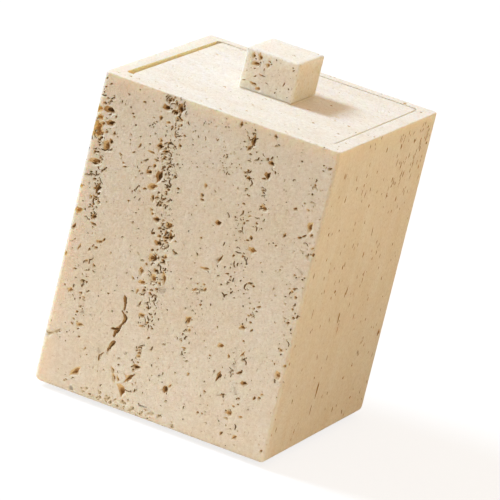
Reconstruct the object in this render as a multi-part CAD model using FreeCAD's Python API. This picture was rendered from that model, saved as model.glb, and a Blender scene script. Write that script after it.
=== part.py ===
# Cotton swab holder: a square travertine box, hollowed from one block, with a lift-off stone lid.
# Frame: millimetres, +Z up, front face towards -Y, right side towards +X.
# Origin: centre of the footprint, on the surface that the box stands on.

import FreeCAD, Part
import math
import os

# Driving dimensions of the stone box
box_width = 80.0
box_depth = 80.0
box_height = 101.6
floor_thickness = 10.0
vertical_arris_radius = 1.3
bottom_arris_radius = 2.4
top_arris_radius = 0.35

# Foot pads under the box
pad_diameter = 10.0
pad_thickness = 1.2
pad_inset = 12.0
pad_edge_chamfer = 0.3

# Seat for the lid, a shallow recess in the top; each rim width is measured to the box's outer face.
# The stone is cut by hand, so the rims differ and the left wall of the seat runs slightly askew.
rim_right = 4.95
rim_front = 6.80
rim_back = 4.20
rim_left_at_front = 3.80
rim_left_at_back = 4.50
seat_corner_radius = 1.5

# Well for the swabs, below the seat
well_width = 60.0
well_depth_front_to_back = 60.0
well_corner_radius = 8.0
well_floor_radius = 2.0

# Lid plate, pushed to the front and right of its seat
lid_width = 68.8
lid_depth = 68.3
lid_thickness = 8.0
lid_gap_right = 0.30
lid_gap_front = 0.05
lid_corner_radius = 2.0
lid_top_arris_radius = 0.30
lid_bottom_chamfer = 0.60

# Knob, its resin bed and its pin, all on the middle of the lid
knob_width = 18.4
knob_depth = 19.6
knob_height = 13.2
knob_arris_radius = 0.8
resin_bed_thickness = 0.20
resin_bed_inset = 0.05
pin_diameter = 4.0
pin_depth_in_lid = 5.0
pin_depth_in_knob = 7.0
pin_end_chamfer = 0.4

# Main open pores of the travertine, the largest of those the stone shows; its beds run upright, side by
# side. A row holds a pore's place on the face (across, up), its width, its height, and its lean to the
# left in degrees. Across is X on the front and back, and Y on the two sides.
front_pores = (
    (-36.1, 91.7, 2.8, 1.8, -12), (-34.2, 80.4, 1.6, 3.0, 12), (-36.6, 74.8, 2.5, 1.2, 14),
    (-33.7, 66.8, 1.6, 2.7, -22), (-32.9, 57.9, 1.5, 1.2, 10), (-29.2, 50.9, 1.8, 0.9, 18),
    (-34.9, 33.1, 1.6, 1.0, 35), (-29.4, 23.5, 1.8, 1.0, 15), (-27.3, 8.6, 1.2, 3.5, -42),
    (-18.0, 98.3, 2.3, 1.7, 5), (-13.4, 99.6, 1.3, 2.9, 10), (-17.1, 86.2, 1.5, 1.9, -15),
    (-15.1, 77.1, 1.4, 3.0, -5), (-16.6, 73.2, 2.7, 1.5, 38), (-12.7, 63.8, 1.8, 1.3, 20),
    (-8.4, 63.3, 1.7, 1.6, -20), (-10.5, 56.7, 2.1, 1.4, -8), (-11.4, 51.8, 1.7, 2.3, 10),
    (-9.1, 45.9, 1.4, 1.9, 10), (-12.7, 43.2, 1.7, 1.0, 12), (-10.0, 33.3, 2.0, 1.1, 10),
    (-7.8, 17.0, 1.8, 1.2, 8), (12.0, 97.6, 1.2, 3.4, -6), (18.8, 88.7, 1.7, 2.0, -15),
    (20.2, 78.6, 1.8, 1.1, -28), (35.9, 77.8, 1.3, 2.2, 0), (7.0, 69.4, 1.4, 1.3, 20),
    (19.7, 64.8, 2.4, 1.5, 8), (5.0, 37.1, 1.6, 2.2, -8), (22.6, 40.7, 2.0, 1.4, 15),
    (17.2, 32.8, 1.6, 1.2, 25), (37.3, 30.2, 1.2, 1.8, 15), (19.1, 23.5, 1.1, 2.8, -12),
    (27.2, 23.8, 1.9, 1.0, 10), (25.0, 13.4, 1.7, 1.3, 10), (3.0, 13.3, 1.2, 1.9, 8),
)
back_pores = (
    (-33.5, 88.0, 1.8, 2.4, 15), (-31.8, 61.5, 2.2, 1.4, -20), (-34.2, 27.0, 1.4, 2.0, 10),
    (-17.8, 95.2, 2.2, 1.6, 25), (-16.0, 74.0, 1.6, 2.6, -12), (-18.4, 52.6, 2.4, 1.8, 8),
    (-15.6, 33.8, 1.5, 2.2, -30), (-17.2, 11.4, 2.0, 1.3, 14), (-3.2, 83.6, 1.4, 2.0, 20),
    (-5.0, 45.5, 1.8, 1.2, -18), (9.6, 91.0, 2.0, 1.5, -8), (8.4, 66.2, 1.5, 2.4, 12),
    (10.2, 22.4, 2.2, 1.6, 30), (24.6, 78.8, 1.7, 2.3, -15), (23.0, 48.4, 2.3, 1.5, 18),
    (25.4, 30.6, 1.4, 2.1, -6), (34.4, 92.6, 1.6, 2.2, 10), (35.6, 57.4, 2.1, 1.4, -24),
    (33.8, 14.8, 1.5, 2.0, 16),
)
right_pores = (
    (3.3, 62.0, 0.9, 1.8, 0), (-14.2, 53.0, 1.1, 1.2, 0), (-4.8, 42.6, 0.9, 2.8, 0),
    (-8.0, 19.4, 1.0, 4.4, -4), (36.6, 29.4, 1.2, 1.8, 0), (24.5, 95.9, 0.9, 1.8, 12),
)
left_pores = (
    (-33.4, 84.2, 0.9, 2.6, 4), (-34.6, 40.8, 1.0, 2.0, -6), (-16.8, 66.4, 1.1, 3.0, 3),
    (-15.2, 22.0, 0.9, 2.2, -4), (4.6, 90.4, 1.0, 2.4, 5), (3.0, 49.6, 1.1, 3.2, -3),
    (21.8, 74.0, 0.9, 2.4, 6), (20.4, 30.2, 1.1, 2.6, -5), (33.0, 58.8, 1.0, 2.0, 2),
)
knob_pores = (
    (-5.2, 111.8, 1.9, 1.0, 5), (-3.9, 114.4, 0.9, 1.9, 20), (-0.9, 112.7, 1.2, 1.1, 0),
    (-4.4, 105.6, 1.8, 0.8, -12), (-2.2, 104.5, 1.7, 0.9, 22),
)
pore_shape = ((1.0, 0.1), (0.4, 0.9), (-0.45, 0.8), (-1.0, -0.1), (-0.4, -0.9), (0.5, -0.75))
pore_depth_share = 0.7
pore_floor_share = 0.5

# The long split low on the front: across, up and width along each of its three lengths
front_splits = (
    ((-17.0, 37.3, 0.7), (-16.2, 35.0, 0.9), (-16.0, 32.6, 0.45)),
    ((-16.2, 32.0, 0.4), (-14.9, 30.3, 1.3), (-15.8, 27.8, 0.6), (-16.8, 26.0, 1.4), (-17.3, 23.4, 0.5)),
    ((-16.7, 22.7, 0.5), (-17.2, 21.2, 1.1), (-18.3, 18.5, 0.4)),
)
split_depth = 1.1
split_floor_share = 0.4
split_end_share = 0.25

# Two larger voids below it, as corners (across, up)
front_voids = (
    ((-11.5, 13.9), (-9.2, 13.7), (-7.5, 14.6), (-8.6, 12.6), (-10.7, 10.6)),
    ((-12.6, 9.4), (-11.2, 10.0), (-9.9, 9.3), (-9.8, 7.6), (-10.4, 6.3)),
)
void_depth = 1.4
void_floor_share = 0.55

# Levels and places worked out from the driving dimensions
box_bottom = pad_thickness
box_top = box_bottom + box_height
seat_floor = box_top - lid_thickness
well_floor = box_bottom + floor_thickness
seat_right_x = box_width / 2 - rim_right
seat_front_y = -box_depth / 2 + rim_front
seat_back_y = box_depth / 2 - rim_back
seat_left_x_at_front = -box_width / 2 + rim_left_at_front
seat_left_x_at_back = -box_width / 2 + rim_left_at_back
lid_right_x = seat_right_x - lid_gap_right
lid_front_y = seat_front_y + lid_gap_front
lid_centre_x = lid_right_x - lid_width / 2
lid_centre_y = lid_front_y + lid_depth / 2
knob_bottom = box_top + resin_bed_thickness
cut_margin = 1.0
pore_margin = 0.1
on_plane = 1e-4


def point(x, y, z):
    return FreeCAD.Vector(x, y, z)


def box_between(x0, x1, y0, y1, z0, z1):
    return Part.makeBox(x1 - x0, y1 - y0, z1 - z0, point(x0, y0, z0))


def box_about(centre_x, centre_y, width, depth, z0, z1):
    half_width = width / 2
    half_depth = depth / 2
    return box_between(centre_x - half_width, centre_x + half_width,
                       centre_y - half_depth, centre_y + half_depth, z0, z1)


def prism(corners, z0, z1):
    """Straight prism on a closed outline of (x, y) corners."""
    outline = [point(x, y, z0) for x, y in corners]
    face = Part.Face(Part.makePolygon(outline + outline[:1]))
    return face.extrude(point(0, 0, z1 - z0))


def upright_edges(solid):
    """Edges that run along Z."""
    return [edge for edge in solid.Edges
            if edge.BoundBox.XLength < on_plane and edge.BoundBox.YLength < on_plane]


def edges_at_level(solid, level):
    """Edges that lie flat at one height."""
    return [edge for edge in solid.Edges
            if abs(edge.BoundBox.ZMin - level) < on_plane and abs(edge.BoundBox.ZMax - level) < on_plane]


def pin_hole(z0, z1):
    return Part.makeCylinder(pin_diameter / 2, z1 - z0, point(lid_centre_x, lid_centre_y, z0))


def faces_about(centre_x, centre_y, width, depth):
    """Upright faces of a block: the foot of each face's middle line, its direction across, and outwards."""
    across_x = point(1, 0, 0)
    across_y = point(0, 1, 0)
    return {
        "front": (point(0, centre_y - depth / 2, 0), across_x, -across_y),
        "back": (point(0, centre_y + depth / 2, 0), across_x, across_y),
        "right": (point(centre_x + width / 2, 0, 0), across_y, across_x),
        "left": (point(centre_x - width / 2, 0, 0), across_y, -across_x),
    }


def flat_face(corners):
    return Part.Face(Part.makePolygon(corners + corners[:1]))


def wall(corners):
    """One flat face on four corners, or two where they aren't in one plane."""
    a, b, c, d = corners
    normal = (b - a).cross(c - a).normalize()
    if abs(normal.dot(d - a)) < on_plane:
        return [flat_face(corners)]
    return [flat_face([a, b, c]), flat_face([a, c, d])]


def pit(face, mouth, floor, depth):
    """Pocket that narrows from its mouth to its floor, outlines that match corner by corner."""
    foot, across, outwards = face
    up = point(0, 0, 1)
    rings = []
    for outline, height in ((mouth, 0), (floor, -depth)):
        rings.append([foot + across * u + up * v + outwards * height for u, v in outline])
    outer, inner = rings
    beyond = [m + (m - f) * (pore_margin / depth) for m, f in zip(outer, inner)]
    sides = [flat_face(beyond), flat_face(inner)]
    for k in range(len(mouth)):
        sides += wall([beyond[k - 1], beyond[k], inner[k], inner[k - 1]])
    shell = Part.makeShell(sides)
    shell.sewShape()
    pocket = Part.makeSolid(shell)
    if pocket.Volume < 0:
        pocket.reverse()
    return pocket


def shrunk(outline, share):
    """Outline drawn in towards its middle."""
    middle_u = sum(u for u, v in outline) / len(outline)
    middle_v = sum(v for u, v in outline) / len(outline)
    return [(middle_u + (u - middle_u) * share, middle_v + (v - middle_v) * share) for u, v in outline]


def open_pore(face, across, up, width, height, lean):
    """One open pore, a ragged hexagon that narrows to its floor."""
    cosine = math.cos(math.radians(lean))
    sine = math.sin(math.radians(lean))
    mouth = []
    for share_u, share_v in pore_shape:
        u = share_u * width / 2
        v = share_v * height / 2
        mouth.append((across + u * cosine - v * sine, up + u * sine + v * cosine))
    return pit(face, mouth, shrunk(mouth, pore_floor_share), pore_depth_share * min(width, height))


def banks(course, width_share, end_share):
    """Outline of a split: down one side of its course and back up the other, its ends drawn in."""
    left = []
    right = []
    last = len(course) - 1
    for k, (u, v, width) in enumerate(course):
        before = course[max(0, k - 1)]
        after = course[min(last, k + 1)]
        run_u = after[0] - before[0]
        run_v = after[1] - before[1]
        length = math.hypot(run_u, run_v)
        inwards = end_share if k == 0 else -end_share if k == last else 0
        here_u = u + run_u * inwards
        here_v = v + run_v * inwards
        half = width * width_share / 2
        left.append((here_u - run_v / length * half, here_v + run_u / length * half))
        right.append((here_u + run_v / length * half, here_v - run_u / length * half))
    return left + right[::-1]


def box_pores():
    """Every pit in the outside of the box."""
    faces = faces_about(0, 0, box_width, box_depth)
    pits = []
    for side, pores in (("front", front_pores), ("back", back_pores), ("right", right_pores), ("left", left_pores)):
        pits += [open_pore(faces[side], *pore) for pore in pores]
    for course in front_splits:
        floor = banks(course, split_floor_share, split_end_share)
        pits.append(pit(faces["front"], banks(course, 1, 0), floor, split_depth))
    for outline in front_voids:
        pits.append(pit(faces["front"], outline, shrunk(outline, void_floor_share), void_depth))
    return Part.makeCompound(pits)


def outer_block():
    """The sawn and eased block, before it is hollowed."""
    block = box_about(0, 0, box_width, box_depth, box_bottom, box_top)
    block = block.makeFillet(bottom_arris_radius, edges_at_level(block, box_bottom))
    block = block.makeFillet(vertical_arris_radius, upright_edges(block))
    return block.makeFillet(top_arris_radius, edges_at_level(block, box_top))


def lid_seat():
    """The shallow recess that the lid drops into."""
    corners = [(seat_left_x_at_front, seat_front_y), (seat_right_x, seat_front_y),
               (seat_right_x, seat_back_y), (seat_left_x_at_back, seat_back_y)]
    recess = prism(corners, seat_floor, box_top + cut_margin)
    return recess.makeFillet(seat_corner_radius, upright_edges(recess))


def swab_well():
    """The deep pocket, with the corner radius that its cutter leaves."""
    well = box_about(0, 0, well_width, well_depth_front_to_back, well_floor, seat_floor + cut_margin)
    well = well.makeFillet(well_corner_radius, upright_edges(well))
    return well.makeFillet(well_floor_radius, edges_at_level(well, well_floor))


def travertine_box():
    return outer_block().cut(swab_well()).cut(lid_seat()).cut(box_pores())


def lid_plate():
    plate = box_about(lid_centre_x, lid_centre_y, lid_width, lid_depth, seat_floor, box_top)
    plate = plate.makeFillet(lid_corner_radius, upright_edges(plate))
    plate = plate.makeChamfer(lid_bottom_chamfer, edges_at_level(plate, seat_floor))
    plate = plate.makeFillet(lid_top_arris_radius, edges_at_level(plate, box_top))
    return plate.cut(pin_hole(box_top - pin_depth_in_lid, box_top + cut_margin))


def knob_resin_bed():
    bed_width = knob_width - 2 * resin_bed_inset
    bed_depth = knob_depth - 2 * resin_bed_inset
    bed = box_about(lid_centre_x, lid_centre_y, bed_width, bed_depth, box_top, knob_bottom)
    bed = bed.makeFillet(knob_arris_radius, upright_edges(bed))
    return bed.cut(pin_hole(box_top - cut_margin, knob_bottom + cut_margin))


def lid_knob():
    block = box_about(lid_centre_x, lid_centre_y, knob_width, knob_depth, knob_bottom, knob_bottom + knob_height)
    eased = [edge for edge in block.Edges if edge not in edges_at_level(block, knob_bottom)]
    block = block.makeFillet(knob_arris_radius, eased)
    block = block.cut(pin_hole(knob_bottom - cut_margin, knob_bottom + pin_depth_in_knob))
    front = faces_about(lid_centre_x, lid_centre_y, knob_width, knob_depth)["front"]
    return block.cut(Part.makeCompound([open_pore(front, *pore) for pore in knob_pores]))


def knob_pin():
    lowest = box_top - pin_depth_in_lid
    highest = knob_bottom + pin_depth_in_knob
    pin = pin_hole(lowest, highest)
    ends = edges_at_level(pin, lowest) + edges_at_level(pin, highest)
    return pin.makeChamfer(pin_end_chamfer, ends)


def foot_pad(side_x, side_y):
    """One round pad under a corner of the box."""
    centre = point(side_x * (box_width / 2 - pad_inset), side_y * (box_depth / 2 - pad_inset), 0)
    pad = Part.makeCylinder(pad_diameter / 2, pad_thickness, centre)
    return pad.makeChamfer(pad_edge_chamfer, edges_at_level(pad, 0))


def write(name, solid):
    if not solid.isValid() or len(solid.Solids) != 1:
        raise ValueError(name + " is not one valid solid")
    solid.Solids[0].exportStep(os.path.join("parts", name + ".step"))
    print(name, round(solid.Volume, 1), "cubic millimetres")


os.makedirs("parts", exist_ok=True)
write("travertine_box", travertine_box())
write("lid_plate", lid_plate())
write("knob_resin_bed", knob_resin_bed())
write("lid_knob", lid_knob())
write("knob_pin", knob_pin())
for depth_name, depth_side in (("front", -1), ("back", 1)):
    for width_name, width_side in (("left", -1), ("right", 1)):
        write("foot_pad_" + depth_name + "_" + width_name, foot_pad(width_side, depth_side))
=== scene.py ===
import math
import random

import bmesh
import bpy
import numpy as np
from mathutils import Matrix, Vector, noise

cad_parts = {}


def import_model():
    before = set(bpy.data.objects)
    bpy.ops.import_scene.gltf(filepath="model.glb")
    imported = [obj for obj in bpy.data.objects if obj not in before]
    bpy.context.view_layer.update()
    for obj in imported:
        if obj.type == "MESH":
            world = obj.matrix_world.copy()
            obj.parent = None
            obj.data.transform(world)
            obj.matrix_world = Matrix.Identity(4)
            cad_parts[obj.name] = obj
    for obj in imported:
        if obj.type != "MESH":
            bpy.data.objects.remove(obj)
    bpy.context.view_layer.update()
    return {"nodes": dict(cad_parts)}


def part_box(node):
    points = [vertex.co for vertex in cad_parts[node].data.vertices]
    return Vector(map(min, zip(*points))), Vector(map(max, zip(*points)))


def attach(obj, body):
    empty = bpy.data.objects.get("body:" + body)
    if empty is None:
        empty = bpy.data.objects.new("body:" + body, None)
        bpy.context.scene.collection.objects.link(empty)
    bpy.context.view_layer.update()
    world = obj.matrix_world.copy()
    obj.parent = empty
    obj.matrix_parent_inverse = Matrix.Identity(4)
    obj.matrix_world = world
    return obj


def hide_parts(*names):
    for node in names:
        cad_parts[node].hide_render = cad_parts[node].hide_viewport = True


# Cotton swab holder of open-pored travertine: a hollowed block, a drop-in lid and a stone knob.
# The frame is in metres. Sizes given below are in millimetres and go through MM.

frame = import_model()

MM = 0.001

# Faces of the stone, each with its outward normal and the directions of its u and v coordinates.
BOX_LOW, BOX_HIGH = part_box("travertine_box")
LID_LOW, LID_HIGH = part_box("lid_plate")
KNOB_LOW, KNOB_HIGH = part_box("lid_knob")


class StoneFace:
    """A flat face that pores are cut into; u and v are millimetres in the row frame."""

    def __init__(self, normal, u_axis, v_axis, level, u_range, v_range):
        self.normal = Vector(normal)
        self.u_axis = Vector(u_axis)
        self.v_axis = Vector(v_axis)
        self.level = level
        self.u_range = u_range
        self.v_range = v_range

    def point(self, u, v):
        return self.u_axis * (u * MM) + self.v_axis * (v * MM) + self.normal * self.level


def millimetres(low, high):
    return (low / MM, high / MM)


def faces_of(low, high):
    """The six faces of a block, by name."""
    x = millimetres(low.x, high.x)
    y = millimetres(low.y, high.y)
    z = millimetres(low.z, high.z)
    return {
        "front": StoneFace((0, -1, 0), (1, 0, 0), (0, 0, 1), -low.y, x, z),
        "back": StoneFace((0, 1, 0), (1, 0, 0), (0, 0, 1), high.y, x, z),
        "right": StoneFace((1, 0, 0), (0, 1, 0), (0, 0, 1), high.x, y, z),
        "left": StoneFace((-1, 0, 0), (0, 1, 0), (0, 0, 1), -low.x, y, z),
        "top": StoneFace((0, 0, 1), (1, 0, 0), (0, 1, 0), high.z, x, y),
        "bottom": StoneFace((0, 0, -1), (1, 0, 0), (0, 1, 0), -low.z, x, y),
    }


# Pores of the front face that can be told apart: x, z, width, height and any tilt, in degrees.
FRONT_PORES = (
    # The column on the left edge
    (-36.1, 91.7, 2.8, 1.8, -12), (-34.7, 87.7, 2.2, 1.7, 20), (-37.0, 86.9, 1.3, 0.9, 15),
    (-33.2, 90.2, 0.5, 0.9, -15), (-35.0, 84.7, 1.1, 0.6, 20), (-32.5, 85.0, 0.8, 1.1, -20),
    (-33.0, 82.4, 1.1, 1.3, 10), (-34.2, 80.4, 1.6, 3.0, 12), (-36.9, 81.6, 0.8, 0.9),
    (-37.4, 77.6, 0.7, 0.9, -20), (-36.9, 74.8, 2.5, 1.2, 14), (-36.3, 80.0, 0.6, 0.5),
    (-33.7, 66.8, 1.6, 2.7, -22), (-35.3, 63.7, 0.9, 1.1, 20), (-34.0, 63.9, 1.7, 0.5, -15),
    (-32.4, 62.9, 1.1, 0.8, -30), (-32.9, 57.9, 1.5, 1.2, 10), (-32.4, 55.6, 1.7, 0.7, -8),
    (-29.2, 50.9, 1.8, 0.9, 18), (-27.8, 51.9, 0.5, 1.1, -20), (-37.8, 93.2, 0.9, 0.7),
    (-36.0, 94.4, 0.7, 0.6), (-37.2, 95.0, 0.7, 0.5), (-35.1, 76.4, 0.5, 0.7), (-38.5, 52.9, 0.6, 1.8, -25),
    # The upper left
    (-28.1, 92.9, 0.6, 0.5), (-27.5, 92.1, 0.7, 0.4, -20), (-26.3, 89.8, 0.5, 0.6), (-30.8, 98.3, 0.7, 0.4),
    (-25.3, 97.6, 0.9, 0.5, 15), (-23.4, 84.2, 0.4, 1.3, -20), (-25.0, 81.4, 1.0, 0.4, 30),
    (-29.0, 79.5, 1.0, 0.4, -40), (-27.4, 77.2, 0.7, 0.6), (-26.8, 76.1, 0.9, 0.4, 10),
    (-38.9, 101.0, 0.9, 0.4, 60), (-37.2, 99.6, 0.9, 0.4, 50), (-38.6, 98.2, 0.8, 0.4, 30),
    (-29.2, 94.6, 0.5, 0.4), (-23.9, 86.9, 0.6, 0.3, 45),
    # The second column
    (-18.0, 98.3, 2.3, 1.7, 5), (-17.4, 100.7, 0.7, 1.5, -25), (-15.1, 100.7, 0.5, 1.3),
    (-13.4, 99.6, 1.3, 2.9, 10), (-14.8, 97.7, 1.5, 1.0, -15), (-13.6, 96.3, 0.7, 1.0),
    (-12.4, 96.2, 1.1, 0.8, -30), (-11.8, 94.6, 0.6, 0.9), (-18.9, 94.6, 0.8, 1.3),
    (-16.3, 94.0, 1.0, 0.8, 15), (-17.2, 88.0, 0.6, 1.2, 10), (-17.1, 86.2, 1.5, 1.9, -15),
    (-14.4, 87.9, 1.2, 0.6, 5), (-14.9, 85.0, 1.7, 1.0, 25), (-10.8, 88.3, 0.8, 1.0, 40),
    (-19.5, 83.4, 1.9, 0.5, -8), (-17.1, 81.5, 1.5, 0.5, -8), (-14.9, 82.8, 0.5, 1.4, -30),
    (-14.1, 80.2, 0.6, 0.7), (-14.0, 79.2, 0.8, 0.5, 25), (-17.3, 79.6, 0.7, 1.0),
    (-18.6, 77.1, 1.7, 1.2, 5), (-15.1, 77.1, 1.4, 3.0, -5), (-16.6, 73.2, 2.7, 1.5, 38),
    (-18.6, 71.7, 1.2, 0.6, 15), (-20.7, 71.9, 0.6, 0.5), (-15.5, 69.9, 0.8, 1.7), (-20.1, 70.4, 0.5, 0.4),
    (-15.0, 66.2, 0.8, 0.5, -25), (-14.4, 65.0, 0.6, 1.0, 15), (-12.7, 63.8, 1.8, 1.3, 20),
    (-8.4, 63.3, 1.7, 1.6, -20), (-10.9, 61.4, 1.4, 0.7, 35), (-6.8, 60.0, 1.2, 1.9, 12),
    (-8.3, 59.2, 1.6, 0.8, 5), (-7.8, 57.9, 1.2, 0.8, -10), (-12.7, 59.2, 1.1, 0.8, 15),
    (-10.5, 59.0, 1.0, 0.9, 25), (-10.5, 56.7, 2.1, 1.4, -8), (-4.4, 55.8, 1.4, 0.5, -28),
    (-11.4, 51.8, 1.7, 2.3, 10), (-10.3, 52.0, 1.0, 2.2, -12), (-7.0, 53.5, 0.8, 1.5, -15),
    (-7.2, 51.5, 1.0, 0.8, 30), (-9.1, 45.9, 1.4, 1.9, 10), (-6.0, 47.2, 0.8, 2.7, 14),
    (-5.8, 43.0, 1.7, 1.0, 35), (-7.1, 44.7, 0.9, 0.6), (-7.3, 42.7, 0.8, 0.7), (-12.4, 49.2, 0.7, 0.7),
    (-13.6, 46.8, 1.0, 1.7, 15), (-12.7, 43.2, 1.7, 1.0, 12), (-11.0, 42.0, 0.6, 0.6),
    (-13.3, 40.1, 0.5, 1.5, -12), (-15.6, 43.6, 0.5, 1.3, 40), (-10.0, 33.3, 2.0, 1.1, 10),
    (-9.3, 29.9, 1.2, 0.6, 15), (-7.7, 31.6, 1.0, 0.6, 35), (-5.7, 30.2, 0.7, 0.6, 20),
    (-11.5, 36.6, 0.4, 2.0, -25), (-6.0, 27.1, 0.7, 0.7), (-8.1, 22.4, 0.9, 0.4, 20),
    (-7.8, 21.5, 1.0, 0.6, 25), (-8.0, 20.4, 1.2, 0.6, 20), (-7.8, 17.0, 1.8, 1.2, 8),
    (-13.6, 15.6, 0.6, 0.5), (-15.2, 13.6, 0.6, 1.3, 35), (-14.3, 11.6, 0.5, 1.8, 22),
    (-12.8, 11.3, 0.6, 1.4, 30),
    # The lower left
    (-30.9, 48.8, 0.6, 0.6), (-29.6, 48.7, 0.9, 0.7), (-31.8, 47.5, 0.4, 0.8, -20),
    (-35.2, 47.2, 0.4, 2.2, -18), (-31.9, 43.7, 0.5, 1.3, -38), (-29.1, 43.1, 0.6, 1.0, 35),
    (-34.8, 40.1, 0.9, 0.5), (-31.4, 37.3, 1.5, 0.7, 8), (-30.2, 37.2, 0.7, 0.6),
    (-34.9, 33.1, 1.6, 1.0, 35), (-31.2, 33.3, 0.9, 0.7), (-29.9, 32.3, 0.9, 0.4, -18),
    (-30.9, 27.2, 0.7, 0.7, 20), (-31.6, 24.7, 0.8, 0.5, -10), (-29.4, 23.5, 1.8, 1.0, 15),
    (-27.3, 8.6, 1.2, 3.5, -42), (-29.4, 5.2, 0.7, 0.5), (-27.0, 3.1, 0.9, 0.8), (-22.3, 36.1, 0.6, 0.4),
    (-25.6, 16.9, 0.4, 1.0, -25), (-20.6, 3.4, 0.9, 0.5, 10),
    # The right half
    (6.9, 101.0, 0.6, 1.4, -12), (11.6, 100.7, 0.6, 0.6), (12.0, 97.6, 1.2, 3.4, -6),
    (11.1, 94.8, 0.7, 1.5, -25), (18.5, 101.0, 0.7, 1.4, 38), (12.0, 93.1, 0.6, 0.5), (9.1, 96.2, 0.6, 0.4),
    (19.0, 92.6, 1.4, 1.1, -5), (18.8, 88.7, 1.7, 2.0, -15), (18.0, 87.2, 1.3, 0.6, 25),
    (12.5, 88.0, 0.7, 0.8), (13.2, 85.8, 1.5, 1.0, 8), (18.7, 83.7, 1.0, 0.5), (6.7, 84.9, 0.6, 0.4),
    (13.3, 82.4, 0.9, 0.4, 15), (14.6, 80.6, 0.7, 0.4), (20.2, 78.6, 1.8, 1.1, -28), (35.9, 77.8, 1.3, 2.2),
    (37.1, 75.3, 0.5, 1.2, -28), (33.6, 73.5, 1.0, 0.7, 35), (34.8, 74.3, 1.3, 0.4, 40),
    (28.8, 72.6, 0.8, 1.4, -20), (16.4, 74.6, 0.9, 0.4, 30), (15.3, 72.0, 0.8, 0.6, 30),
    (21.1, 72.2, 0.4, 0.4), (38.5, 71.6, 0.9, 0.6, 40), (39.2, 69.8, 0.6, 1.1, -10), (26.8, 68.6, 0.5, 0.6),
    (7.0, 69.4, 1.4, 1.3, 20), (18.6, 68.3, 0.7, 1.3, 10), (17.6, 67.2, 0.8, 0.6, 15),
    (19.7, 64.8, 2.4, 1.5, 8), (2.8, 63.0, 0.7, 0.6), (17.4, 61.9, 0.6, 0.9, -30),
    (14.4, 61.1, 0.5, 0.9, -25), (10.5, 58.8, 0.5, 2.3, -28), (9.6, 58.3, 0.4, 0.9, -28),
    (6.3, 54.2, 2.2, 0.6, 8), (13.8, 55.0, 1.2, 0.5, 15), (15.1, 54.5, 0.6, 0.6), (15.2, 53.4, 0.6, 0.5),
    (21.6, 54.6, 1.5, 0.6, 12), (23.0, 54.1, 0.9, 0.8), (35.5, 56.6, 0.8, 0.7, 35),
    (37.0, 55.3, 0.6, 0.8, 10), (34.1, 82.5, 0.9, 0.6, -30), (30.1, 81.6, 1.0, 0.6, 38),
    (34.5, 90.6, 0.5, 0.8), (37.7, 96.9, 1.0, 0.6, 25), (28.5, 96.3, 0.6, 0.5), (0.3, 79.2, 0.7, 1.1, 10),
    (-0.1, 75.9, 0.7, 1.0, 15), (0.3, 74.5, 0.9, 0.5, -8), (4.8, 46.8, 0.5, 1.7, -40),
    (8.0, 47.9, 0.8, 1.4, -15), (7.4, 49.3, 1.0, 0.5, 15), (7.8, 44.0, 0.5, 0.6), (7.8, 42.8, 0.6, 0.7),
    (5.0, 37.1, 1.6, 2.2, -8), (6.2, 34.1, 0.6, 1.0, -15), (22.6, 40.7, 2.0, 1.4, 15),
    (25.9, 40.7, 0.5, 1.0, -30), (26.4, 48.5, 1.2, 0.5, 32), (25.0, 47.5, 0.5, 0.5), (23.7, 44.8, 0.8, 0.5),
    (37.8, 48.9, 0.6, 0.6), (36.5, 46.8, 1.0, 0.6, 38), (17.2, 32.8, 1.6, 1.2, 25),
    (20.6, 30.3, 0.6, 1.2, 12), (24.9, 32.7, 0.4, 2.4, -28), (14.9, 38.0, 0.5, 0.5),
    (4.5, 30.0, 0.5, 0.7, 20), (5.8, 27.9, 1.2, 0.5, -5), (14.7, 28.6, 0.7, 0.4),
    (37.3, 30.2, 1.2, 1.8, 15), (38.9, 33.6, 0.8, 0.7, 30), (36.3, 37.9, 0.6, 1.1, 30),
    (25.3, 26.6, 1.6, 0.6, 35), (19.1, 23.5, 1.1, 2.8, -12), (27.2, 23.8, 1.9, 1.0, 10),
    (34.0, 22.5, 1.0, 0.5, 40), (33.5, 21.2, 0.8, 0.7), (31.9, 20.5, 0.6, 1.1, -20),
    (9.2, 20.6, 0.5, 0.9, 25), (20.0, 17.5, 1.3, 0.4, 32), (21.7, 18.2, 1.4, 0.4, 32),
    (15.8, 17.1, 0.6, 0.7), (27.3, 16.9, 0.7, 0.5), (26.0, 15.9, 0.8, 0.5, -30), (25.0, 13.4, 1.7, 1.3, 10),
    (29.0, 13.4, 0.9, 0.7, 30), (24.5, 11.5, 1.0, 0.4), (3.0, 13.3, 1.2, 1.9, 8),
    (4.4, 15.0, 0.5, 1.4, -38), (15.3, 10.0, 0.7, 0.7), (16.7, 10.1, 0.5, 0.5), (28.6, 6.6, 1.7, 0.8, 42),
    (24.2, 6.3, 0.6, 1.2, -25), (38.2, 5.4, 0.8, 0.6, 20),
)

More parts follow.
